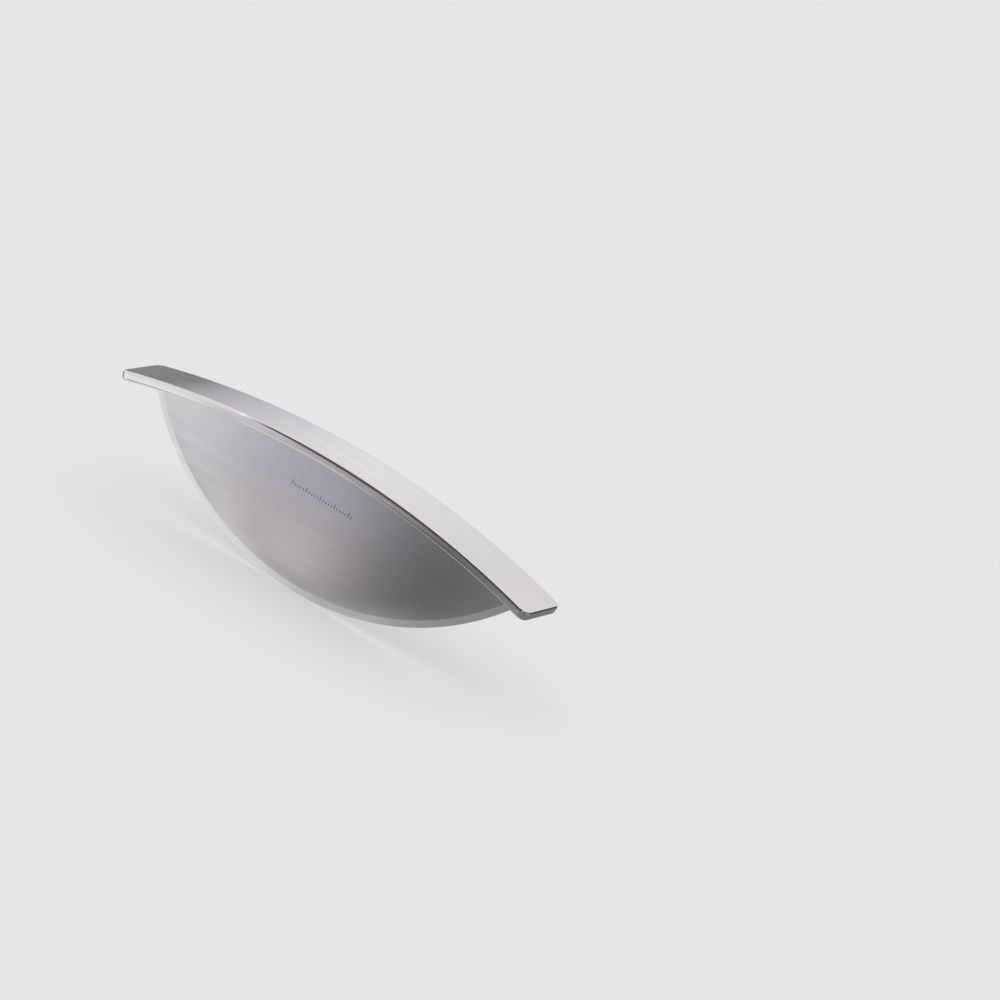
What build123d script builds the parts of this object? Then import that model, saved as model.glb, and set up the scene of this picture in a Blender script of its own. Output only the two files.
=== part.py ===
from build123d import *
import os
from math import asin, cos, degrees, sin, sqrt

# A mezzaluna: an all steel rocking knife for two hands.
# An arched flat bar is the handle, and a half moon blade stands centred under it,
# so that the two make a T in section. Two fillet welds join them.
# X runs along the handle, Y across it and Z up. The knife stands upright on its edge,
# and the origin is the lowest point of the cutting edge. All sizes are in millimetres.

# Handle bar, a flat strip bent to an arch
bar_length = 232.0  # straight distance between the two ends of its top face
bar_width = 37.0
bar_thickness = 4.5
bar_top_radius = 450.0  # radius of the arch on the top face
bar_corner_radius = 5.0  # the four corners as seen from above
bar_edge_round = 1.25  # soft edge all round the top and the bottom face

# Blade, a flat plate between the arch of the bar and the arc of the edge
blade_depth = 65.5  # from the underside of the bar down to the edge, in the middle
blade_thickness = 2.0
blade_end_inset = 10.4  # from the end of the bar to the tip of the blade, along X
bevel_width = 3.5  # ground band along the edge, on both sides
edge_land = 0.3  # thickness that the grinding leaves at the very edge

# Fillet welds in the two inner corners of the T
weld_leg = 2.0
weld_end_setback = 1.5  # from the start of the bevel back to the end of the weld

# Centres and angles that follow from the sizes above
bar_under_radius = bar_top_radius - bar_thickness
arch_centre_z = blade_depth - bar_under_radius
bar_half_angle = asin(bar_length / 2 / bar_top_radius)
tip_x = bar_length / 2 - blade_end_inset
tip_z = arch_centre_z + sqrt(bar_under_radius**2 - tip_x**2)
blade_edge_radius = (tip_x**2 + tip_z**2) / (2 * tip_z)


def on_arch(radius, angle):
    """A point of the XZ plane on an arc about the centre of the arch."""
    return (radius * sin(angle), 0, arch_centre_z + radius * cos(angle))


def across_pieces(face, depth):
    """The solid that an XZ face sweeps, with its middle on the plane Y = 0."""
    return extrude(face, amount=depth / 2, both=True)


def make_handle_bar():
    """Bent strip with rounded corners and soft edges."""
    top = ThreePointArc(
        on_arch(bar_top_radius, -bar_half_angle),
        on_arch(bar_top_radius, 0),
        on_arch(bar_top_radius, bar_half_angle),
    )
    under = ThreePointArc(
        on_arch(bar_under_radius, -bar_half_angle),
        on_arch(bar_under_radius, 0),
        on_arch(bar_under_radius, bar_half_angle),
    )
    ends = [Line(top @ side, under @ side) for side in (0, 1)]
    bar = across_pieces(make_face([top, under, *ends]), bar_width)
    corners = bar.edges().filter_by(GeomType.LINE).filter_by(Axis.Y, reverse=True)
    bar = fillet(corners, bar_corner_radius)
    long_faces = bar.faces().filter_by(GeomType.CYLINDER).sort_by(SortBy.AREA)[-2:]
    return fillet(long_faces.edges(), bar_edge_round)


def make_blade():
    """Disc with a ground rim, cut off where it meets the underside of the bar."""
    flank = blade_thickness / 2
    land = edge_land / 2
    bevel_start = blade_edge_radius - bevel_width
    section = make_face(
        Polyline(
            (0, -flank),
            (bevel_start, -flank),
            (blade_edge_radius, -land),
            (blade_edge_radius, land),
            (bevel_start, flank),
            (0, flank),
            close=True,
        )
    )
    disc = Pos(0, 0, blade_edge_radius) * revolve(section, Axis.Y)
    under_arch = Pos(0, 0, arch_centre_z) * Rot(90, 0, 0) * Cylinder(bar_under_radius, bar_width)
    return disc & under_arch


def weld_half_angle():
    """Half the angle of arch that a weld covers: it ends short of the bevel."""
    bevel_start = blade_edge_radius - bevel_width
    rise = blade_edge_radius - arch_centre_z
    height = (rise**2 + bar_under_radius**2 - bevel_start**2) / (2 * rise)
    start_x = sqrt(bar_under_radius**2 - height**2)
    return asin((start_x - weld_end_setback) / bar_under_radius)


def make_weld(side):
    """Hollow fillet between the underside of the bar and one side of the blade."""
    flank = side * blade_thickness / 2
    corner = (bar_under_radius, flank)
    on_bar = (bar_under_radius, flank + side * weld_leg)
    on_blade = (bar_under_radius - weld_leg, flank)
    bend = weld_leg * (1 - sqrt(0.5))
    middle = (bar_under_radius - bend, flank + side * bend)
    section = make_face([Line(corner, on_bar), ThreePointArc(on_bar, middle, on_blade), Line(on_blade, corner)])
    half_angle = degrees(weld_half_angle())
    # The section lies along X, so the weld is turned up to the crown of the arch
    seam = revolve(section, Axis.Y, 2 * half_angle)
    return Pos(0, 0, arch_centre_z) * Rot(0, -90 - half_angle, 0) * seam


pieces = {
    "handle_bar": make_handle_bar(),
    "blade": make_blade(),
    "weld_front": make_weld(-1),
    "weld_back": make_weld(1),
}

os.makedirs("parts", exist_ok=True)
for name, piece in pieces.items():
    box = piece.bounding_box()
    print(f"{name}: volume {piece.volume:.1f}, X {box.min.X:.2f} to {box.max.X:.2f},", end=" ")
    print(f"Y {box.min.Y:.2f} to {box.max.Y:.2f}, Z {box.min.Z:.2f} to {box.max.Z:.2f}")
    export_step(piece, f"parts/{name}.step")
print(f"radius of the cutting edge {blade_edge_radius:.2f}, tips at X {tip_x:.2f}, Z {tip_z:.2f}")
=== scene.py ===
# %% [markdown]
# # A mezzaluna, dressed for its picture
# A mezzaluna is a rocking knife. This one is all stainless steel: a half moon blade stands under the
# middle of an arched flat bar, which both hands hold. The measured model comes first and stays as it
# is. Everything here is built round it, in metres, with the lowest point of the edge at the origin, X
# along the bar, Y from front to back and Z up.

# %% Load the measured model
import math

import bmesh
import bpy
from mathutils import Matrix, Vector


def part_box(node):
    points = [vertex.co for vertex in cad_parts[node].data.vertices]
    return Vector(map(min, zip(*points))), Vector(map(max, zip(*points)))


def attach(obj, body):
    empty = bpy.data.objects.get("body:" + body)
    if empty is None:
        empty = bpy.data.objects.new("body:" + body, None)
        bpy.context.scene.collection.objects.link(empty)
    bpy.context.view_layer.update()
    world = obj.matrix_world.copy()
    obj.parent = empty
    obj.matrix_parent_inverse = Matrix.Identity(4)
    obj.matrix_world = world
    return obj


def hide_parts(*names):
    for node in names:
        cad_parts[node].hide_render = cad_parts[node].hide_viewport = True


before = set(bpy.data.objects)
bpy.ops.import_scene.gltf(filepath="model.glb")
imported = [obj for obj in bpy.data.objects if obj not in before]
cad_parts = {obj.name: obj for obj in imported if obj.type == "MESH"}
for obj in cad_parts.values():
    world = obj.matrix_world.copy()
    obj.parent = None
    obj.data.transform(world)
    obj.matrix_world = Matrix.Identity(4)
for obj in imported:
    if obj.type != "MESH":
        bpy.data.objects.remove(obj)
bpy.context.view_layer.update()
scene = bpy.context.scene
MM = 0.001
print("nodes of the model:", sorted(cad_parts))

# %% [markdown]
# ## The camera
# The knife was seen from its right and from a little above, with a long lens, and the picture is
# tipped, so the bar runs down to the right. A long lens flattens depth, which is why both ends of the
# bar look almost equally large. The camera is aimed at a point near the middle of what it sees, then
# rolled.

# %% Place the camera
CAMERA_PLACE = Vector((0.91502, -2.24446, 0.78906))
CAMERA_AIM = Vector((0.07405, 0.0, 0.08898))
CAMERA_ROLL = math.radians(24.851)
LENS_MM = 199.335
SENSOR_MM = 36.0
SIGHT_END = 50.0

camera_data = bpy.data.cameras.new("camera")
camera_data.lens = LENS_MM
camera_data.sensor_width = SENSOR_MM
camera_data.clip_end = SIGHT_END
camera = bpy.data.objects.new("camera", camera_data)
scene.collection.objects.link(camera)
toward = CAMERA_AIM - CAMERA_PLACE
turn = toward.to_track_quat("-Z", "Y").to_matrix().to_4x4() @ Matrix.Rotation(CAMERA_ROLL, 4, "Z")
camera.matrix_world = Matrix.Translation(CAMERA_PLACE) @ turn
scene.camera = camera
print("camera distance %.2f m, lens %.0f mm" % (toward.length, LENS_MM))

# %% [markdown]
# ## Small helpers
# Colours are written as sRGB hex values, as a picture editor shows them, and one function turns them
# to the linear numbers that sockets take. Another adds any node, with its settings and its links, in
# one line, and hands back one of its outputs, ready to be linked to the next node.

# %% Colours
scene.view_settings.view_transform = "Standard"


def linear(hex_colour):
    """An sRGB hex colour as linear red, green, blue and alpha."""
    parts = [int(hex_colour[k:k + 2], 16) / 255 for k in (1, 3, 5)]
    return [p / 12.92 if p <= 0.04045 else ((p + 0.055) / 1.055) ** 2.4 for p in parts] + [1.0]


def grey(level):
    """A linear grey as a colour."""
    return [level, level, level, 1.0]


print("a pale grey card, #e6e6e6, is %.3f in linear light" % linear("#e6e6e6")[0])

# %% Nodes
MATH, RANGE, VECTOR = "ShaderNodeMath", "ShaderNodeMapRange", "ShaderNodeVectorMath"
SPLIT, JOIN, NOISE = "ShaderNodeSeparateXYZ", "ShaderNodeCombineXYZ", "ShaderNodeTexNoise"
SMOOTH = {"interpolation_type": "SMOOTHSTEP"}
# places of a Mix node's colour sockets: how much of the second, the first, the second, and the result
SHARE, FIRST, SECOND, MIXED = 0, 6, 7, 2


def add(tree, kind, inputs=(), out=0, stops=(), **settings):
    """Adds a node and returns one of its outputs, or the node itself where it has none.

    inputs gives the sockets a value or another node's output, in order or by name. stops gives a
    colour ramp its places and colours.
    """
    node = tree.nodes.new(kind)
    for name, value in settings.items():
        setattr(node, name, value)
    for key, value in inputs.items() if isinstance(inputs, dict) else enumerate(inputs):
        if isinstance(value, bpy.types.NodeSocket):
            tree.links.new(value, node.inputs[key])
        else:
            node.inputs[key].default_value = value
    if stops:
        node.color_ramp.interpolation = "EASE"
        marks = node.color_ramp.elements
        marks.remove(marks[-1])
        marks[0].position, marks[0].color = 0.0, stops[0][1]
        for place, colour in stops:
            marks.new(place).color = colour
    return node.outputs[out] if node.outputs else node


def blank_material(name):
    """A material with an empty tree, and that tree."""
    material = bpy.data.materials.new(name)
    material.use_nodes = True
    material.node_tree.nodes.clear()
    return material, material.node_tree


print("Math, Map Range and Vector Math do most of the work, through add")

# %% [markdown]
# ## The studio
# Polished and satin steel have almost no colour of their own: what we see is the room. So the room is
# most of this picture. Steel is photographed in a pale room with a few dark flags, which are sheets of
# black cloth that the metal mirrors as dark bands. Here the world holds the pale room and its flags,
# by direction: east, north and up. The room is cooler low down and warmer overhead.

# %% The pale room
PALE_ROOM = ((0.00, "#f4f2f2"), (0.09, "#f3f2f2"), (0.13, "#eff1fa"), (0.22, "#eff1fa"),
             (0.26, "#f5f3f5"), (0.35, "#f4f2f2"), (0.395, "#e6e5e6"), (0.44, "#f3efec"))

scene.world = bpy.data.worlds.new("studio")
scene.world.use_nodes = True
scene.world.cycles.sampling_method = "NONE"
room = scene.world.node_tree
room.nodes.clear()
way = add(room, "ShaderNodeTexCoord", out="Generated")
east, north, up = add(room, SPLIT, (way,)).node.outputs
pale = add(room, "ShaderNodeValToRGB", (up,),
           stops=[(place, linear(colour)) for place, colour in PALE_ROOM])
print("room colours at %d heights" % len(PALE_ROOM))

# %% [markdown]
# The room's other parts are laid over the pale room, each with a tone of its own. Their sides are
# soft, as a flag's side is when it is mirrored in satin steel. One helper makes a soft mask of a part,
# and another lays the parts one over the other.

# %% Soft masks and layers
RISE, FALL = (0.0, 1.0), (1.0, 0.0)


def zone(tree, *fades):
    """A mask of where all the fades hold. A fade is a measure, two places and its values there."""
    masks = [add(tree, RANGE, (measured, *places, *values), **SMOOTH)
             for measured, places, values in fades]
    mask = masks[0]
    for other in masks[1:]:
        mask = add(tree, MATH, (mask, other), operation="MULTIPLY")
    return mask


def layered(tree, tone, *layers):
    """A tone with layers laid over it, one after another. A layer is a mask and its own tone."""
    for mask, own in layers:
        tone = add(tree, RANGE, (mask, 0.0, 1.0, tone, own))
    return tone


print("a mask rises from %.0f to %.0f" % RISE)

# %% [markdown]
# The low wall behind, on the left, is darker towards the horizon. The far end of the bar's top mirrors
# it, and because the bar is arched, each part of it mirrors another height of that wall. The wall's
# tones are a colour ramp by height.

# %% The wall behind on the left
WALL_WAY = (-0.45, 0.89, 0.06)
WALL_EDGE = (0.80, 0.93)
WALL_TONES = ((0.00, 0.24), (0.062, 0.28), (0.085, 0.31), (0.104, 0.06), (0.118, 0.21), (0.130, 0.57),
              (0.151, 0.57), (0.172, 0.67), (0.192, 0.72), (0.212, 0.79), (0.231, 0.85), (0.250, 0.94),
              (0.270, 0.985), (0.285, 0.99))

facing = add(room, VECTOR, (way, WALL_WAY), out="Value", operation="DOT_PRODUCT")
wall_tone = add(room, "ShaderNodeValToRGB", (up,),
                stops=[(place, grey(tone)) for place, tone in WALL_TONES])
room_tone = layered(room, 1.0, (zone(room, (facing, WALL_EDGE, RISE)), wall_tone))
print("wall tones from %.2f to %.2f" % (WALL_TONES[0][1], WALL_TONES[-1][1]))

# %% [markdown]
# A black flag stands in front, from below the camera to high above it. The rounded front edge of the
# bar mirrors all of it as one thin dark line. Its left side ends along one cross-section of the bar, a
# little left of the middle, where the line fades out. Halfway up the flag is a dark grey, so the bar's
# top stays grey and not black when it is seen from behind. A second dark flag closes the room's right
# side: low in front, tall towards the back, it darkens the bar's right end face. It is thinner in its
# middle and lets some of the pale room through, for whoever looks at the knife from its left end. A
# small flag overhead joins the two, so the dark line also runs round the bar's front corner.

# %% The flags
BAR_WAY = (0.9964, 0.0, 0.0844)
FLAG_TONES = ((0.00, 0.03), (0.10, 0.04), (0.17, 0.14), (0.45, 0.14), (0.60, 0.03))
FLAG_LEFT = (-0.428, -0.388)
FLAG_RIGHT = (0.38, 0.55)
FLAG_FRONT = (-0.05, -0.32)
FLAG_LOW = (-0.02, 0.03)
SIDE_TONE = 0.08
SIDE_EAST = (0.0, 0.12)
SIDE_LOW_TOP = (0.16, 0.28)
SIDE_TALL_TOP = (0.70, 0.84)
SIDE_TALL_NORTH = (-0.64, -0.52)
GAP_WAY = (0.93, 0.33, 0.15)
GAP_EDGE = (0.80, 0.92)
GAP_SHARE = 0.6
OVER_WAY = (0.40, 0.05, 0.91)
OVER_EDGE = (0.92, 0.97)
OVER_NORTH = (0.08, 0.18)
OVER_TONE = 0.05

lengthwise, at_gap, overhead = (add(room, VECTOR, (way, axis), out="Value", operation="DOT_PRODUCT")
                                for axis in (BAR_WAY, GAP_WAY, OVER_WAY))
in_front = ((up, FLAG_LOW, RISE), (north, FLAG_FRONT, RISE))
flag = zone(room, *in_front, (lengthwise, FLAG_LEFT, RISE), (east, FLAG_RIGHT, FALL))
flag_tone = add(room, "ShaderNodeValToRGB", (up,),
                stops=[(place, grey(tone)) for place, tone in FLAG_TONES])
low = zone(room, (up, SIDE_LOW_TOP, FALL))
tall = zone(room, (north, SIDE_TALL_NORTH, RISE), (up, SIDE_TALL_TOP, FALL))
at_right = zone(room, (east, SIDE_EAST, RISE), (at_gap, GAP_EDGE, (1.0, GAP_SHARE)))
at_right = add(room, MATH, (at_right, add(room, MATH, (tall, low), operation="MAXIMUM")),
               operation="MULTIPLY")
small_flag = zone(room, (overhead, OVER_EDGE, RISE), (north, OVER_NORTH, FALL))
room_tone = layered(room, room_tone, (small_flag, OVER_TONE), (at_right, SIDE_TONE), (flag, flag_tone))
print("flags: black %.2f, grey %.2f" % (FLAG_TONES[0][1], SIDE_TONE))

# %% [markdown]
# One narrow strip light stands at the black flag's left side. It gives the bar's edge its one bright
# spot. The room's parts are then put together. The camera sees the plain pale backdrop, steel sees the
# room with its flags, and everything else is lit by an even light.

# %% The strip light, and the whole room
STRIP_LEFT = (-0.438, -0.435)
STRIP_RIGHT = (-0.433, -0.430)
STRIP_LOW = (0.60, 0.72)
STRIP_LIGHT = 3.2
BACKDROP = "#e6e6e6"
ROOM_LIGHT = 0.87

strip = zone(room, *in_front, (lengthwise, STRIP_LEFT, RISE), (up, STRIP_LOW, RISE),
             (lengthwise, STRIP_RIGHT, FALL))
room_tone = layered(room, room_tone, (strip, STRIP_LIGHT))
room_colour = add(room, VECTOR, {"Vector": pale, "Scale": room_tone}, operation="SCALE")
mirrored = add(room, "ShaderNodeBackground", (room_colour, 1.0))
lighting = add(room, "ShaderNodeBackground", (grey(1.0), ROOM_LIGHT))
backdrop = add(room, "ShaderNodeBackground", (linear(BACKDROP), 1.0))
rays = add(room, "ShaderNodeLightPath").node.outputs
by_steel = add(room, MATH, (rays["Is Glossy Ray"], rays["Is Transmission Ray"]), operation="MAXIMUM")
whole = add(room, "ShaderNodeMixShader", (by_steel, lighting, mirrored))
whole = add(room, "ShaderNodeMixShader", (rays["Is Camera Ray"], whole, backdrop))
add(room, "ShaderNodeOutputWorld", (whole,))
print("room light %.2f, strip light %.1f" % (ROOM_LIGHT, STRIP_LIGHT))

# %% [markdown]
# ## The floor
# The floor is one large sheet of pale matt card. Half of what the camera sees is the card's own
# colour, shone back evenly, and half is the light that falls on it, so the knife keeps a soft, faint
# shadow. From below the card is clear, so the underside of the knife can be looked at too.

# %% Lay the floor
FLOOR_HALF = 12.0
OWN_GLOW = 0.5


def lay_sheet(name, half, height, material):
    """A level square sheet round the origin."""
    mesh = bpy.data.meshes.new(name)
    corners = [(x * half, y * half, height) for x, y in ((-1, -1), (1, -1), (1, 1), (-1, 1))]
    mesh.from_pydata(corners, [], [(0, 1, 2, 3)])
    mesh.materials.append(material)
    laid = bpy.data.objects.new(name, mesh)
    scene.collection.objects.link(laid)
    return laid


matt_card, tree = blank_material("matt_pale_card")
matt_card.cycles.emission_sampling = "NONE"
rays = add(tree, "ShaderNodeLightPath").node.outputs
looked_at = add(tree, MATH, (rays["Is Glossy Ray"], rays["Is Transmission Ray"]), operation="MAXIMUM")
looked_at = add(tree, MATH, (looked_at, rays["Is Camera Ray"]), operation="MAXIMUM")
glow = add(tree, MATH, (looked_at, OWN_GLOW), operation="MULTIPLY")
card = add(tree, "ShaderNodeMixShader", (glow, add(tree, "ShaderNodeBsdfDiffuse", (linear(BACKDROP),)),
                                         add(tree, "ShaderNodeEmission", (linear(BACKDROP), 1.0))))
underneath = add(tree, "ShaderNodeNewGeometry", out="Backfacing")
from_below = add(tree, MATH, (underneath, rays["Is Camera Ray"]), operation="MULTIPLY")
card = add(tree, "ShaderNodeMixShader", (from_below, card, add(tree, "ShaderNodeBsdfTransparent")))
add(tree, "ShaderNodeOutputMaterial", (card,))
lay_sheet("floor", FLOOR_HALF, 0.0, matt_card)
print("floor: %.0f m square" % (2 * FLOOR_HALF))

# %% [markdown]
# ## The graded card
# A photographer who wants steel to run from light to dark lays a graded card under it, out of sight.
# The blade mirrors what lies in front of it, and the higher a point on the blade, the further out it
# looks. So the card's tones are drawn as places in millimetres, along an axis that is slanted to
# match: each tone then stands upright on the blade. The card is seen by steel alone, and takes no part
# in the shadow.

# %% Tones on the card
CARD_SLANT = 0.375
CARD_TONES = ((-110, 0.92), (-85, 0.75), (-75, 0.56), (-65, 0.46), (-50, 0.60), (-30, 0.555),
              (-12, 0.61), (-2, 0.60), (5, 0.53), (15, 0.41), (25, 0.305), (35, 0.22), (45, 0.15),
              (55, 0.107), (70, 0.084), (85, 0.16), (120, 0.30))
EDGE_TONES = ((-116, 0.97), (-80, 0.98), (-60, 0.94), (-48, 0.89), (-36, 0.89), (-26, 0.85), (-15, 0.79),
              (-6, 0.716), (4, 0.636), (15, 0.557), (33, 0.543), (41, 0.515), (49, 0.437), (56, 0.395),
              (68, 0.36), (80, 0.33), (104, 0.33), (120, 0.215))
SIDE_TONES = ((-167, 0.83), (-155, 0.76), (-136, 0.76), (-122, 0.71), (-112, 0.60), (-104, 0.55),
              (-82, 0.53), (-61, 0.51), (-40, 0.46), (-18, 0.32), (4, 0.26), (32, 0.235))
RAMP_LOW, RAMP_HIGH = -200.0, 150.0

graded, tree = blank_material("graded_card")
graded.cycles.emission_sampling = "NONE"
card_x, card_y, _ = add(tree, SPLIT, (add(tree, "ShaderNodeTexCoord", out="Object"),)).node.outputs
out_from = add(tree, MATH, (card_y,), operation="ABSOLUTE")
along = add(tree, MATH, (out_from, CARD_SLANT, card_x), operation="MULTIPLY_ADD")
ramps = []
for measured, tones in ((along, CARD_TONES), (card_x, EDGE_TONES), (card_x, SIDE_TONES)):
    scaled = add(tree, RANGE, (measured, RAMP_LOW * MM, RAMP_HIGH * MM, 0.0, 1.0))
    ramps.append(add(tree, "ShaderNodeValToRGB", (scaled,), stops=[
        ((place - RAMP_LOW) / (RAMP_HIGH - RAMP_LOW), grey(tone)) for place, tone in tones]))
open_tone, edge_tone, side_tone = ramps
print("tones on the card:", len(CARD_TONES) + len(EDGE_TONES) + len(SIDE_TONES))

# %% [markdown]
# Close in, under the cutting edge, the card is paler: the ground bevel leans down and mirrors that
# part. The paler part is narrow in the middle and widens towards the tips, as the edge rises from the
# table. Far out, where the bar's side looks, a third set of tones takes over, and beyond it the card
# is dark on the right, like the flag above it. Between these zones a narrow dark belt crosses the
# card's left half on a slant. Mostly the lower rounding of the bar looks at it, and it draws the thin
# grey line there. A dim patch behind on the left does the same for the bar's left end. In the middle
# the open card is a little dimmer next to the pale part, so the bevel stands out from the blade.

# %% Zones of the card
# places are in metres, and slants, spreads, tones and shares are plain numbers
NEAR_REACH = 0.007
NEAR_SPREAD = 7.8
NEAR_FULL = 0.7
NEAR_END_LEFT, NEAR_END_RIGHT = 1.6, 4.2
NEAR_WIDENS = (0.0, 0.03)
SIDE_START = (0.207, 0.215)
FAR_START = (-0.240, -0.262)
FAR_LEFT = (-0.045, -0.020)
FAR_TONE = 0.06
DIM_START = (0.070, 0.130)
DIM_SHARES = (1.03, 0.93)
BELT_NEAR_SLANT = 0.45
BELT_NEAR = (-0.0125, -0.0055)
BELT_FAR_SLANT = 0.75
BELT_FAR = (-0.0200, -0.0120)
BELT_START = (-0.160, -0.148)
BELT_END = (-0.078, -0.062)
BELT_TONE = 0.03
BEHIND_LEFT = (-0.124, -0.114)
BEHIND_START = (-0.012, 0.002)
BEHIND_TONE = 0.25
FOOT_LEFT = (-0.034, -0.024)
FOOT_RIGHT = (-0.002, 0.010)
FOOT_REACH = (0.016, 0.036)
FOOT_DIM = 0.78

squared = add(tree, MATH, (card_x, card_x), operation="MULTIPLY")
reach = add(tree, MATH, (squared, NEAR_SPREAD, NEAR_REACH), operation="MULTIPLY_ADD")
how_far = add(tree, MATH, (out_from, reach), operation="DIVIDE")
near_end = zone(tree, (card_x, NEAR_WIDENS, (NEAR_END_LEFT, NEAR_END_RIGHT)))
close_in = zone(tree, (how_far, (NEAR_FULL, near_end), FALL))
at_side = zone(tree, (out_from, SIDE_START, RISE))
far_out = zone(tree, (card_y, FAR_START, RISE), (along, FAR_LEFT, RISE))
near_line, far_line = (add(tree, MATH, (card_x, slant, out_from), operation="MULTIPLY_ADD")
                       for slant in (BELT_NEAR_SLANT, BELT_FAR_SLANT))
belt = zone(tree, (near_line, BELT_NEAR, RISE), (far_line, BELT_FAR, FALL),
            (card_x, BELT_START, RISE), (card_x, BELT_END, FALL))
behind = zone(tree, (card_y, BEHIND_START, RISE), (card_x, BEHIND_LEFT, FALL))
at_foot = zone(tree, (card_x, FOOT_LEFT, RISE), (card_x, FOOT_RIGHT, FALL))
out_dim = add(tree, RANGE, (out_from, *DIM_START, *DIM_SHARES))
foot_dim = layered(tree, 1.0, (at_foot, add(tree, RANGE, (out_from, *FOOT_REACH, FOOT_DIM, 1.0))))
tone = open_tone
for share in (out_dim, foot_dim):
    tone = add(tree, MATH, (tone, share), operation="MULTIPLY")
tone = layered(tree, tone, (close_in, edge_tone), (belt, BELT_TONE), (behind, BEHIND_TONE),
               (at_side, side_tone), (far_out, FAR_TONE))
print("pale part: %.0f mm in the middle, dark belt from %.0f to %.0f mm on the left" % (
    NEAR_REACH / MM, -BELT_END[0] / MM, -BELT_START[1] / MM))

# %% [markdown]
# White card is never quite neutral in a mirror. Close in it is plain, further out it is slightly rosy,
# then cool, and rosy again where the bar's side looks. The dark right part is a little cool
# throughout.

# %% Casts of the card, and laying it
CAST_NEAR = (1.0, 1.0, 1.01, 1.0)
CAST_OPEN = (1.08, 1.0, 1.0, 1.0)
CAST_FAR = (1.0, 1.0, 1.20, 1.0)
CAST_FAR_START = (0.095, 0.130)
CAST_RIGHT = (1.025, 1.0, 1.045, 1.0)
CAST_RIGHT_START = (0.015, 0.040)
CAST_SIDE = (1.10, 1.0, 1.0, 1.0)
CARD_HALF = 1.5
CARD_HEIGHT = 0.02

cast = CAST_OPEN
for share, other in ((zone(tree, (out_from, CAST_FAR_START, RISE)), CAST_FAR),
                     (zone(tree, (along, CAST_RIGHT_START, RISE)), CAST_RIGHT),
                     (close_in, CAST_NEAR), (at_side, CAST_SIDE)):
    cast = add(tree, "ShaderNodeMix", {SHARE: share, FIRST: cast, SECOND: other}, MIXED,
               data_type="RGBA")
shown = add(tree, VECTOR, {"Vector": cast, "Scale": tone}, operation="SCALE")
add(tree, "ShaderNodeOutputMaterial", (add(tree, "ShaderNodeEmission", (shown, 1.0)),))
graded_card = lay_sheet("graded_card", CARD_HALF, CARD_HEIGHT * MM, graded)
graded_card.visible_camera = False
graded_card.visible_diffuse = False
graded_card.visible_shadow = False
print("graded card: %.0f m square" % (2 * CARD_HALF))

# %% [markdown]
# ## The lamp
# One wide, distant lamp in front on the left, higher than the camera, gives the shadow its direction.
# It is as wide as a window seen from a few steps away. The steel doesn't mirror it, because the room
# already holds the bright side that it would be.

# %% Hang the lamp
LAMP_WIDTH = math.radians(60)
LAMP_STRENGTH = 0.55
LAMP_FROM = Vector((-0.35, -0.70, 1.0))

lamp_data = bpy.data.lights.new("window_light", "SUN")
lamp_data.energy = LAMP_STRENGTH
lamp_data.angle = LAMP_WIDTH
lamp = bpy.data.objects.new("window_light", lamp_data)
lamp.rotation_mode = "QUATERNION"
lamp.rotation_quaternion = (-LAMP_FROM).to_track_quat("-Z", "Y")
lamp.visible_glossy = False
scene.collection.objects.link(lamp)
print("lamp: %.0f degrees wide" % math.degrees(LAMP_WIDTH))

# %% [markdown]
# ## The sizes of the steel
# These are the measured model's own sizes, in millimetres. The bar's top is part of a circle of 450 mm
# radius, and the underside, the blade's spine and the welds all follow the same centre.

# %% Sizes, in millimetres
BAR_LENGTH = 232.0
BAR_WIDTH = 37.0
BAR_THICKNESS = 4.5
BAR_TOP_RADIUS = 450.0
BAR_CORNER = 5.0
BAR_EDGE = 1.25
BLADE_DEPTH = 65.5
BLADE_THICKNESS = 2.0
TIP_X = 105.6
BEVEL_WIDTH = 3.5
EDGE_LAND = 0.3
WELD_LEG = 2.0
WELD_END_X = 100.4

UNDER_RADIUS = BAR_TOP_RADIUS - BAR_THICKNESS
CENTRE_Z = BLADE_DEPTH - UNDER_RADIUS
TIP_Z = CENTRE_Z + math.sqrt(UNDER_RADIUS ** 2 - TIP_X ** 2)
EDGE_RADIUS = (TIP_X ** 2 + TIP_Z ** 2) / (2 * TIP_Z)
print("edge radius %.1f mm, arch centre %.1f mm below the edge" % (EDGE_RADIUS, -CENTRE_Z))

# %% [markdown]
# ## Bending to the arch
# A workshop cuts the bar flat and then rolls it to its curve. The same order works here: a flat blank
# is drawn first, and a small Geometry Nodes group bends it. A point's distance along the blank becomes
# an angle on the arch, and its height becomes a radius. The group also keeps each point's flat place
# in an attribute named flat, so a brushed pattern can follow the bar round its curve.

# %% The bend, as a node group
def new_tree(name, sizes):
    """A Geometry Nodes tree with named size inputs. Returns the tree and its input node."""
    made = bpy.data.node_groups.new(name, "GeometryNodeTree")
    made.interface.new_socket("Geometry", in_out="INPUT", socket_type="NodeSocketGeometry")
    for label, value in sizes.items():
        kind = "NodeSocketInt" if isinstance(value, int) else "NodeSocketFloat"
        socket = made.interface.new_socket(label, in_out="INPUT", socket_type=kind)
        socket.default_value = value
    made.interface.new_socket("Geometry", in_out="OUTPUT", socket_type="NodeSocketGeometry")
    return made, add(made, "NodeGroupInput").node.outputs


ARCH = {"Top radius": BAR_TOP_RADIUS * MM, "Centre height": CENTRE_Z * MM}

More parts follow.
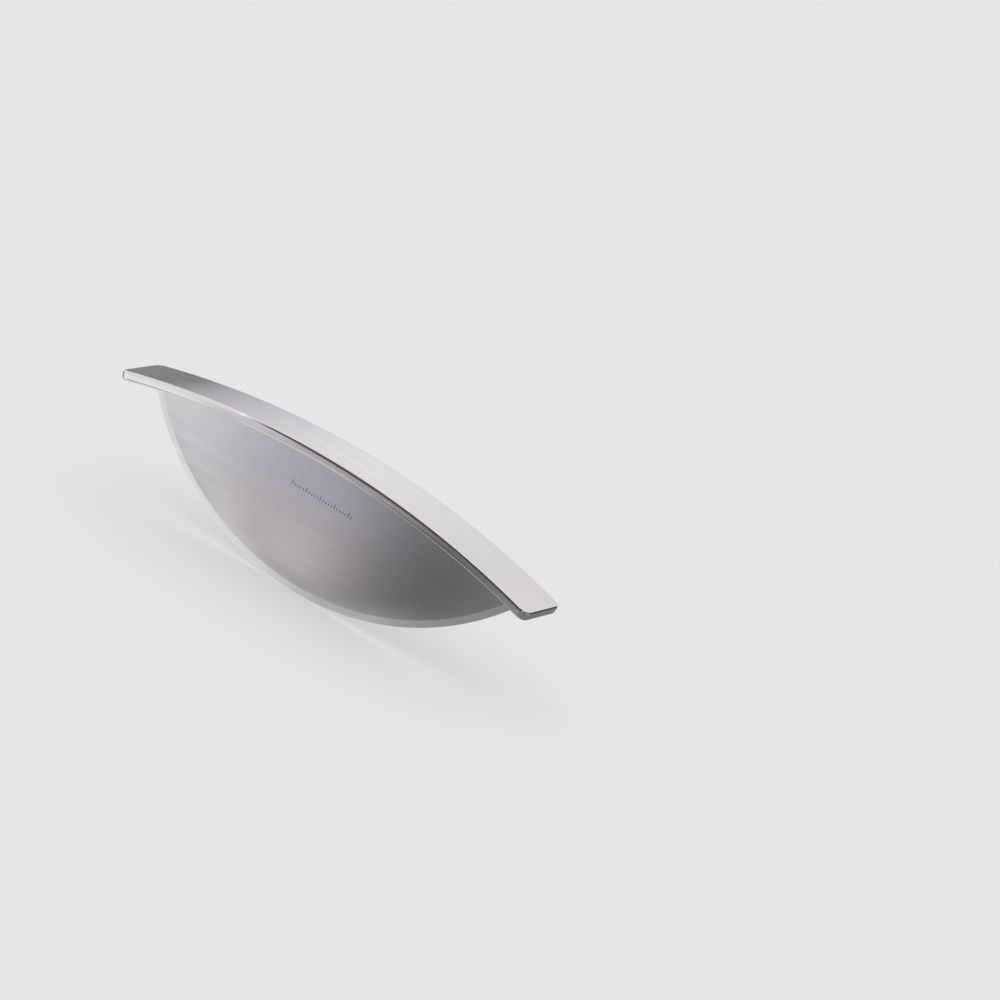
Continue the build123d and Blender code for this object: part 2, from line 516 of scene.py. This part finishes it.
bend, given = new_tree("bend_to_arch", ARCH)
flat_place = add(bend, "GeometryNodeInputPosition")
keep = add(bend, "GeometryNodeStoreNamedAttribute",
           {"Geometry": given["Geometry"], "Name": "flat", "Value": flat_place},
           data_type="FLOAT_VECTOR", domain="POINT")
flat_x, flat_y, flat_z = add(bend, SPLIT, (flat_place,)).node.outputs
angle = add(bend, MATH, (flat_x, given["Top radius"]), operation="DIVIDE")
radius = add(bend, MATH, (flat_z, given["Top radius"]), operation="ADD")
across = add(bend, MATH, (radius, add(bend, MATH, (angle,), operation="SINE")), operation="MULTIPLY")
height = add(bend, MATH, (radius, add(bend, MATH, (angle,), operation="COSINE"), given["Centre height"]),
             operation="MULTIPLY_ADD")
bent = add(bend, JOIN, (across, flat_y, height))
moved = add(bend, "GeometryNodeSetPosition", {"Geometry": keep, "Position": bent})
add(bend, "NodeGroupOutput", {"Geometry": moved})
print("bend: %d nodes" % len(bend.nodes))

# %% [markdown]
# ## From a tree to a piece
# A tree runs once, on a helper object, and its result is copied as a plain mesh, because the finished
# piece must stand without its maker. The mesh then gets one cleaning: doubled points merged, faces
# turned outwards, and smooth shading that breaks only where faces meet at more than the crease angle.

# %% Grow a piece and finish it
MERGE = 0.002
SLIVER = 0.001
CREASE = 30


def end_tree(made, geometry, material, part=None):
    """Ends a tree in Realize Instances and Set Material. part gives some faces a second material."""
    real = add(made, "GeometryNodeRealizeInstances", {"Geometry": geometry})
    painted = add(made, "GeometryNodeSetMaterial", {"Geometry": real, "Material": material})
    if part:
        painted = add(made, "GeometryNodeSetMaterial", {"Geometry": painted, "Selection": part[0],
                                                        "Material": part[1]})
    add(made, "NodeGroupOutput", {"Geometry": painted})


def grow(name, made, mesh, sizes):
    """Runs a tree on mesh and returns the result as a plain object, with the tree's materials."""
    maker = bpy.data.objects.new(name + "_maker", mesh)
    scene.collection.objects.link(maker)
    modifier = maker.modifiers.new("grow", "NODES")
    modifier.node_group = made
    for item in made.interface.items_tree:
        if item.in_out == "INPUT" and item.name in sizes:
            modifier[item.identifier] = sizes[item.name]
    graph = bpy.context.evaluated_depsgraph_get()
    plain = bpy.data.meshes.new_from_object(maker.evaluated_get(graph))
    bpy.data.objects.remove(maker)
    return finished(name, plain)


def finished(name, mesh, crease=CREASE):
    """Merges doubles, turns faces outwards, smooths up to the crease angle, and links the piece."""
    shell = bmesh.new()
    shell.from_mesh(mesh)
    bmesh.ops.remove_doubles(shell, verts=shell.verts, dist=MERGE * MM)
    bmesh.ops.dissolve_degenerate(shell, edges=shell.edges, dist=SLIVER * MM)
    bmesh.ops.recalc_face_normals(shell, faces=shell.faces)
    open_edges = sum(1 for edge in shell.edges if len(edge.link_faces) != 2)
    shell.to_mesh(mesh)
    shell.free()
    mesh.shade_smooth()
    mesh.set_sharp_from_angle(angle=math.radians(crease))
    mesh.name = name
    piece = bpy.data.objects.new(name, mesh)
    scene.collection.objects.link(piece)
    print("%s: %d faces, %d open edges" % (name, len(mesh.polygons), open_edges))
    return piece


print("points closer than %.3f mm are merged" % MERGE)

# %% [markdown]
# ## The finishes
# All of it is stainless steel, so metallic is 1 and the colour is that alloy's pale grey. The bevel and
# the honed edge are given a paler grey, which paints in the bevel's sheen and the edge's bright line.
# Otherwise what differs is how each face was worked. A belt leaves long fine scratches. Real ones are
# far finer than a pixel here and would only flicker, so they are drawn about a millimetre wide, and
# faint. A belt also presses unevenly, which leaves soft bands some millimetres wide, and the eye picks
# these up first.

# %% Worked stainless steel
LINE_LENGTH = 60.0
BAND_LENGTH = 110.0
NOISE_LOW, NOISE_HIGH = 0.30, 0.70
FINE_NOISE = {"Detail": 1.0, "Roughness": 0.5}


def steel(name, colour, roughness, lines, bands, on_arch=False):
    """A worked steel. lines and bands each give a width in mm, and strengths in tone and roughness."""
    made, tree = blank_material(name)
    if on_arch:
        where = add(tree, "ShaderNodeAttribute", out="Vector", attribute_name="flat")
    else:
        where = add(tree, "ShaderNodeTexCoord", out="Object")
    shade, worn = 1.0, roughness
    for length, (width, tone_share, rough_share) in ((LINE_LENGTH, lines), (BAND_LENGTH, bands)):
        scale = (1 / (length * MM), 1 / (width * MM), 1 / (width * MM))
        stretched = add(tree, "ShaderNodeMapping", {"Vector": where, "Scale": scale})
        noise = add(tree, NOISE, {"Vector": stretched, "Scale": 1.0, **FINE_NOISE})
        streak = add(tree, RANGE, (noise, NOISE_LOW, NOISE_HIGH, 1 - tone_share, 1 + tone_share))
        shade = add(tree, MATH, (shade, streak), operation="MULTIPLY")
        rub = add(tree, RANGE, (noise, NOISE_LOW, NOISE_HIGH, rough_share, -rough_share))
        worn = add(tree, MATH, (worn, rub), operation="ADD")
    base = add(tree, VECTOR, {"Vector": linear(colour)[:3], "Scale": shade}, operation="SCALE")
    shader = add(tree, "ShaderNodeBsdfPrincipled",
                 {"Base Color": base, "Metallic": 1.0, "Roughness": worn})
    add(tree, "ShaderNodeOutputMaterial", (shader,))
    return made


print("lines %.0f mm long, bands %.0f mm long" % (LINE_LENGTH, BAND_LENGTH))

# %% [markdown]
# Each finish has its own values. The satin bar was rubbed with fine grit, so it is close to a mirror
# and shows the room's edges softly. Its rounded edges were buffed, so they are sharper mirrors. The
# blade was brushed lengthwise and spreads what it mirrors the most. The bevel was ground on a fine
# wheel, and the last half millimetre honed. The welds were dressed by hand.

# %% The six finishes
# satin: clear but soft reflections, with broad faint bands 7 mm wide that run round the arch
bar_satin = steel("satin_stainless_bar", "#e5e4e3", 0.12,
                  lines=(1.2, 0.009, 0.003), bands=(7.0, 0.028, 0.015), on_arch=True)
# buffed: a sharp mirror, which draws crisp light and dark lines along the bar's edges
bar_polished = steel("buffed_stainless_edge", "#e5e4e3", 0.05,
                     lines=(1.2, 0.005, 0.002), bands=(7.0, 0.008, 0.004), on_arch=True)
# brushed: a broad soft sheen, with lengthwise scratches drawn 1.4 mm wide and bands 5 mm wide
blade_brushed = steel("brushed_stainless_blade", "#dad9db", 0.27,
                      lines=(1.4, 0.011, 0.002), bands=(5.0, 0.022, 0.010))
# ground: a little smoother than the blade, and given a paler grey than the same steel has, a painted
# sheen, so the bevel reads as its own pale band
bevel_ground_painted_sheen = steel("ground_stainless_bevel_painted_sheen", "#dfdee0", 0.24,
                     lines=(1.2, 0.008, 0.003), bands=(4.0, 0.012, 0.008))
# honed: the smoothest part of the blade, and given a paler grey still, so its thin bright line along the
# edge is partly a painted highlight
edge_honed_painted_highlight = steel("honed_stainless_edge_painted_highlight", "#e8e9ea", 0.18,
                   lines=(1.2, 0.004, 0.002), bands=(4.0, 0.006, 0.004))
# dressed: duller than the sheet beside it, with the marks of the file along the bead
weld_dressed = steel("dressed_weld_bead", "#dcdad8", 0.30,
                     lines=(1.0, 0.025, 0.020), bands=(4.0, 0.020, 0.020), on_arch=True)
print("finishes:", [made.name for made in (bar_satin, bar_polished, blade_brushed, bevel_ground_painted_sheen,
                                           edge_honed_painted_highlight, weld_dressed)])

# %% [markdown]
# ## The bar
# The blank is a flat strip with round corners and softened edges. It is drawn as rings, one above the
# other: each ring is the strip's outline, drawn in by as much as the rounded edge takes away at that
# height. Two extra rings lie just inside each rounding, so that smooth shading keeps the faces flat.

# %% Outline of the strip
CORNER_STEPS = 10
EDGE_STEPS = 8
BLANK_STEP = 1.6
SUPPORT = 0.25

blank_half = BAR_TOP_RADIUS * math.asin(BAR_LENGTH / 2 / BAR_TOP_RADIUS)
straight_half = blank_half - BAR_CORNER


def side_points(inset):
    """The front side of the strip's outline from left to right, as (x, distance from the middle)."""
    bow = BAR_CORNER - inset
    turns = [math.radians(90 * k / CORNER_STEPS) for k in range(CORNER_STEPS + 1)]
    corner_y = BAR_WIDTH / 2 - BAR_CORNER
    left = [(-straight_half - bow * math.cos(a), corner_y + bow * math.sin(a)) for a in turns]
    count = round(2 * straight_half / BLANK_STEP)
    middle = [(straight_half * (2 * k / count - 1), corner_y + bow) for k in range(1, count)]
    return left + middle + [(-x, y) for x, y in reversed(left)]


def rounding(step):
    """Inset and drop of one step of the rounded edge, from the top face round to the side."""
    turned = math.radians(90 * step / EDGE_STEPS)
    return BAR_EDGE * (1 - math.sin(turned)), BAR_EDGE * (1 - math.cos(turned))


print("blank: %.1f mm long, %d points on each side" % (2 * blank_half, len(side_points(0.0))))

# %% [markdown]
# The rings become one closed mesh. The rings of the two roundings are marked with an attribute named
# polished, so that the tree can give these faces the buffed finish and leave the rest satin.

# %% Rings of the flat blank
upper = [(BAR_EDGE + SUPPORT, 0.0)] + [rounding(k) for k in range(EDGE_STEPS + 1)]
upper.append((0.0, BAR_EDGE + SUPPORT))
rings = upper + [(inset, BAR_THICKNESS - drop) for inset, drop in reversed(upper)]

points, faces = [], []
for inset, drop in rings:
    side = side_points(inset)
    points += [(x * MM, -y * MM, -drop * MM) for x, y in side]
    points += [(x * MM, y * MM, -drop * MM) for x, y in reversed(side)]
around = 2 * len(side)
for level in range(len(rings) - 1):
    for k in range(around):
        a, b = level * around + k, level * around + (k + 1) % around
        faces.append((a, b, b + around, a + around))
for start in (0, (len(rings) - 1) * around):
    for k in range(len(side) - 1):
        faces.append((start + k, start + k + 1, start + around - 2 - k, start + around - 1 - k))
blank = bpy.data.meshes.new("bar_blank")
blank.from_pydata(points, [], faces)
polished = blank.attributes.new("polished", "BOOLEAN", "FACE")
rounded_levels = [*range(1, EDGE_STEPS + 1), *range(len(rings) - EDGE_STEPS - 2, len(rings) - 2)]
for number in range((len(rings) - 1) * around):
    polished.data[number].value = number // around in rounded_levels
print("blank: %d rings of %d points" % (len(rings), around))

# %% Bend the bar
bar_tree, given = new_tree("rolled_bar", ARCH)
arch_inputs = {label: given[label] for label in ("Geometry", *ARCH)}
rolled = add(bar_tree, "GeometryNodeGroup", arch_inputs, node_tree=bend)
rounded = add(bar_tree, "GeometryNodeInputNamedAttribute", {"Name": "polished"}, data_type="BOOLEAN")
end_tree(bar_tree, rolled, bar_satin, (rounded, bar_polished))
bar = grow("arched_bar", bar_tree, blank, ARCH)

# %% [markdown]
# ## The blade
# The blade is sheet steel, cut along two circles: the cutting edge and the spine under the bar. It is
# drawn in upright columns. Each column starts at the edge, climbs the narrow honed strip and the
# ground bevel, and goes on up the flat to the spine. Where the bevel would pass the spine, near the
# tips, the column simply stops at the spine.

# %% Section of the blade
HONED_WIDTH = 0.5
HONED_LAND = 0.08
FLAT_ROWS = 6

bevel_rise = (BLADE_THICKNESS - EDGE_LAND) / 2 / BEVEL_WIDTH
edge_row = (EDGE_RADIUS, HONED_LAND / 2)
honed_row = (EDGE_RADIUS - HONED_WIDTH, EDGE_LAND / 2 + bevel_rise * HONED_WIDTH)
bevel_row = (EDGE_RADIUS - BEVEL_WIDTH, BLADE_THICKNESS / 2)
bevel_rows = (edge_row, honed_row, bevel_row)


def half_thickness(distance):
    """Half the blade's thickness at a distance from the middle of the edge's circle."""
    for (outer, thin), (inner, thick) in zip(bevel_rows, bevel_rows[1:]):
        if distance >= inner:
            return thin + (thick - thin) * (outer - distance) / (outer - inner)
    return BLADE_THICKNESS / 2


def column(x):
    """One column of the front face, from edge to spine, as (height, half thickness)."""
    spine = CENTRE_Z + math.sqrt(UNDER_RADIUS ** 2 - x * x)
    rows = []
    for ring, _ in bevel_rows:
        z = EDGE_RADIUS - math.sqrt(ring * ring - x * x) if ring > abs(x) else spine
        rows.append(min(z, spine))
    start = rows[-1]
    rows += [start + (spine - start) * k / FLAT_ROWS for k in range(1, FLAT_ROWS + 1)]
    return [(z, half_thickness(math.hypot(x, EDGE_RADIUS - z))) for z in rows]


print("a column in the middle has %d rows up to %.1f mm" % (len(column(0.0)), column(0.0)[-1][0]))

# %% Columns of the blade
COLUMNS = 240
BLADE_CREASE = 7
BRUSHED, GROUND, HONED = range(3)
# once round a column: up the front, over the spine, down the back and across the edge
FINISHES = [HONED, GROUND] + [BRUSHED] * (2 * FLAT_ROWS + 1) + [GROUND, HONED, HONED]

points, faces, finish_of = [], [], []
places = [TIP_X * math.sin(math.pi * (k / COLUMNS - 0.5)) for k in range(COLUMNS + 1)]
for x in places:
    rows = column(x)
    points += [(x * MM, -y * MM, z * MM) for z, y in rows]
    points += [(x * MM, y * MM, z * MM) for z, y in reversed(rows)]
around = 2 * len(rows)
for k in range(COLUMNS):
    for j in range(around):
        a, b = k * around + j, k * around + (j + 1) % around
        faces.append((a, b, b + around, a + around))
        finish_of.append(FINISHES[j])
sheet = bpy.data.meshes.new("blade")
sheet.from_pydata(points, [], faces)
for face, number in zip(sheet.polygons, finish_of):
    face.material_index = number
for finish in (blade_brushed, bevel_ground_painted_sheen, edge_honed_painted_highlight):
    sheet.materials.append(finish)
blade = finished("half_moon_blade", sheet, crease=BLADE_CREASE)

# %% [markdown]
# ## The welds
# A bead of weld metal fills the inner corner on each side of the blade. It follows the arch, so it is
# a sweep: the bead's cross-section is drawn once, a straight line carries it, and the bend from before
# lays it on the arch. A real bead is laid as a row of small overlapping pools. Dressed smooth, it
# keeps only a faint ripple, and it tapers where the pool died out at each end.

# %% Sweep a bead along a line
BEAD_STEP = 0.35
BEAD_TAPER = 5.0
BEAD_TIP = 0.25
BEAD_BLUNT = 0.5
POOL_GAP = 2.2
POOL_HEIGHT = 0.012
POOL_SWAY = 0.8
POOL_SWAY_WIDTH = 5.6

bead_half = BAR_TOP_RADIUS * math.asin(WELD_END_X / UNDER_RADIUS)
bead_tree, given = new_tree("weld_bead", {
    "Half length": bead_half * MM, "Root side": BLADE_THICKNESS / 2 * MM,
    "Root height": -BAR_THICKNESS * MM, "Steps": round(2 * bead_half / BEAD_STEP),
    "Taper": BEAD_TAPER * MM, "Pool gap": POOL_GAP * MM, "Pool height": POOL_HEIGHT * MM, **ARCH})
half = given["Half length"]
other_end = add(bead_tree, MATH, (half, -1.0), operation="MULTIPLY")
ends = [add(bead_tree, JOIN, (x, given["Root side"], given["Root height"])) for x in (other_end, half)]
line = add(bead_tree, "GeometryNodeCurvePrimitiveLine", {"Start": ends[0], "End": ends[1]})
line = add(bead_tree, "GeometryNodeResampleCurve", {"Curve": line, "Count": given["Steps"]})
section = add(bead_tree, "GeometryNodeMeshToCurve", {"Mesh": given["Geometry"]})
reached = add(bead_tree, SPLIT, (add(bead_tree, "GeometryNodeInputPosition"),))
reached = add(bead_tree, MATH, (reached,), operation="ABSOLUTE")
to_end = add(bead_tree, MATH, (half, reached), operation="SUBTRACT")
nose = add(bead_tree, MATH, (to_end, given["Taper"]), operation="DIVIDE", use_clamp=True)
nose = add(bead_tree, MATH, (nose, BEAD_BLUNT), operation="POWER")
nose = add(bead_tree, MATH, (nose, 1 - BEAD_TIP, BEAD_TIP), operation="MULTIPLY_ADD")
swept = add(bead_tree, "GeometryNodeCurveToMesh",
            {"Curve": line, "Profile Curve": section, "Scale": nose, "Fill Caps": True})
print("bead: %.0f mm long" % (2 * bead_half))

# %% Ripple the bead and bend it
here = add(bead_tree, "GeometryNodeInputPosition")
wander = add(bead_tree, NOISE, {"Vector": here, "Scale": 1 / (POOL_SWAY_WIDTH * MM), **FINE_NOISE})
pools = add(bead_tree, MATH, (add(bead_tree, SPLIT, (here,)), given["Pool gap"]), operation="DIVIDE")
pools = add(bead_tree, MATH, (wander, POOL_SWAY, pools), operation="MULTIPLY_ADD")
turns = add(bead_tree, MATH, (pools, 2 * math.pi), operation="MULTIPLY")
wave = add(bead_tree, MATH, (turns,), operation="SINE")
rise = add(bead_tree, MATH, (wave, given["Pool height"]), operation="MULTIPLY")
outward = add(bead_tree, "GeometryNodeInputNormal")
push = add(bead_tree, VECTOR, {"Vector": outward, "Scale": rise}, operation="SCALE")
rippled = add(bead_tree, "GeometryNodeSetPosition", {"Geometry": swept, "Offset": push})
arch_inputs = {"Geometry": rippled, **{label: given[label] for label in ARCH}}
laid = add(bead_tree, "GeometryNodeGroup", arch_inputs, node_tree=bend)
end_tree(bead_tree, laid, weld_dressed)
print("bead tree: %d nodes" % len(bead_tree.nodes))

# %% Lay both beads
BEAD_STEPS = 10
BEAD_SINK = 0.15


def bead(name, side):
    """One weld. side is -1 in front of the blade and 1 behind it."""
    arc = [math.radians(90 * k / BEAD_STEPS) for k in range(BEAD_STEPS + 1)]
    loop = [(WELD_LEG * (1 - math.sin(a)), WELD_LEG * (1 - math.cos(a))) for a in arc]
    loop += [(-BEAD_SINK, WELD_LEG), (-BEAD_SINK, -BEAD_SINK), (WELD_LEG, -BEAD_SINK)]
    outline = bpy.data.meshes.new(name + "_outline")
    outline.from_pydata([(-side * a * MM, b * MM, 0.0) for a, b in loop],
                        [(k, (k + 1) % len(loop)) for k in range(len(loop))], [])
    return grow(name, bead_tree, outline, {"Root side": side * BLADE_THICKNESS / 2 * MM})


weld_front = bead("weld_bead_front", -1)
weld_back = bead("weld_bead_back", 1)

# %% [markdown]
# ## The etched scale
# A row of small marks is etched into the front of the blade, a little left of the middle. It is a
# plain scale of short lines, with every fifth line longer. An acid etch leaves steel dull and dark
# without cutting it, so each mark is only a hundredth of a millimetre proud. A line of points carries
# one small bar, and the count of each point says how tall its bar is.

# %% The etched finish
ETCH_GRAIN = 0.4
ETCH_ROUGHNESS = 0.42
ETCH_DARK, ETCH_PALE = linear("#6d6a66"), linear("#8f8b86")

# etched: dull and dark, so the marks stay readable where the polished steel beside them shines
etched, tree = blank_material("etched_dark_steel")
mottled = add(tree, NOISE, {"Vector": add(tree, "ShaderNodeTexCoord", out="Object"),
                            "Scale": 1 / (ETCH_GRAIN * MM), **FINE_NOISE})
etch_tone = add(tree, "ShaderNodeMix", {SHARE: mottled, FIRST: ETCH_DARK, SECOND: ETCH_PALE}, MIXED,
                data_type="RGBA")
dull = add(tree, "ShaderNodeBsdfPrincipled", {"Base Color": etch_tone, "Metallic": 1.0,
                                              "Roughness": ETCH_ROUGHNESS})
add(tree, "ShaderNodeOutputMaterial", (dull,))
print("etched finish: grain of %.1f mm" % ETCH_GRAIN)

# %% Etch the marks
MARK_COUNT = 22
MARK_GAP = 1.6
MARK_WIDTH = 0.42
MARK_SHORT = 1.3
MARK_LONG = 2.4
MARK_START_X = -21.5
MARK_BASE_Z = 44.6
MARK_PROUD = 0.01
LONG_EVERY = 5

marks, given = new_tree("etched_scale", {
    "Count": MARK_COUNT, "Gap": MARK_GAP * MM, "Width": MARK_WIDTH * MM, "Short": MARK_SHORT * MM,
    "Long": MARK_LONG * MM})
row = add(marks, "GeometryNodeMeshLine", {
    "Count": given["Count"], "Offset": add(marks, JOIN, (given["Gap"],)),
    "Start Location": (MARK_START_X * MM, -BLADE_THICKNESS / 2 * MM, MARK_BASE_Z * MM)})
size = add(marks, JOIN, (given["Width"], 2 * MARK_PROUD * MM, given["Long"]))
stroke = add(marks, "GeometryNodeMeshCube", {"Size": size})
half_up = add(marks, MATH, (given["Long"], 0.5), operation="MULTIPLY")
stroke = add(marks, "GeometryNodeTransform",
             {"Geometry": stroke, "Translation": add(marks, JOIN, {"Z": half_up})})
after_long = add(marks, MATH, (add(marks, "GeometryNodeInputIndex"), LONG_EVERY), operation="MODULO")
short = add(marks, MATH, (after_long, 0.0), operation="GREATER_THAN")
ratio = add(marks, MATH, (given["Short"], given["Long"]), operation="DIVIDE")
stretch = add(marks, RANGE, (short, 0.0, 1.0, 1.0, ratio))
laid = add(marks, "GeometryNodeInstanceOnPoints",
           {"Points": row, "Instance": stroke, "Scale": add(marks, JOIN, (1.0, 1.0, stretch))})
end_tree(marks, laid, etched)
etched_scale = grow("etched_scale", marks, bpy.data.meshes.new("no_marks"), {"Count": MARK_COUNT})

# %% [markdown]
# ## Riding on the body
# Every piece rides on the one body. Where a piece stands in for a measured node, that node is hidden,
# and a printed line tells how far the two boxes differ.

# %% Ride and replace
for piece, node, finish in ((bar, "handle_bar", "bar_steel"), (blade, "blade", "blade_steel"),
                            (weld_front, "weld_front", "weld_steel"),
                            (weld_back, "weld_back", "weld_steel")):
    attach(piece, "root")
    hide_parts(node)
    low_cad, high_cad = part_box(node)
    low_new = [min(v.co[k] for v in piece.data.vertices) for k in range(3)]
    high_new = [max(v.co[k] for v in piece.data.vertices) for k in range(3)]
    print("%s: box differs by at most %.3f mm" % (node, max(
        abs(a - b) for a, b in zip([*low_cad, *high_cad], [*low_new, *high_new])) / MM))
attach(etched_scale, "root")
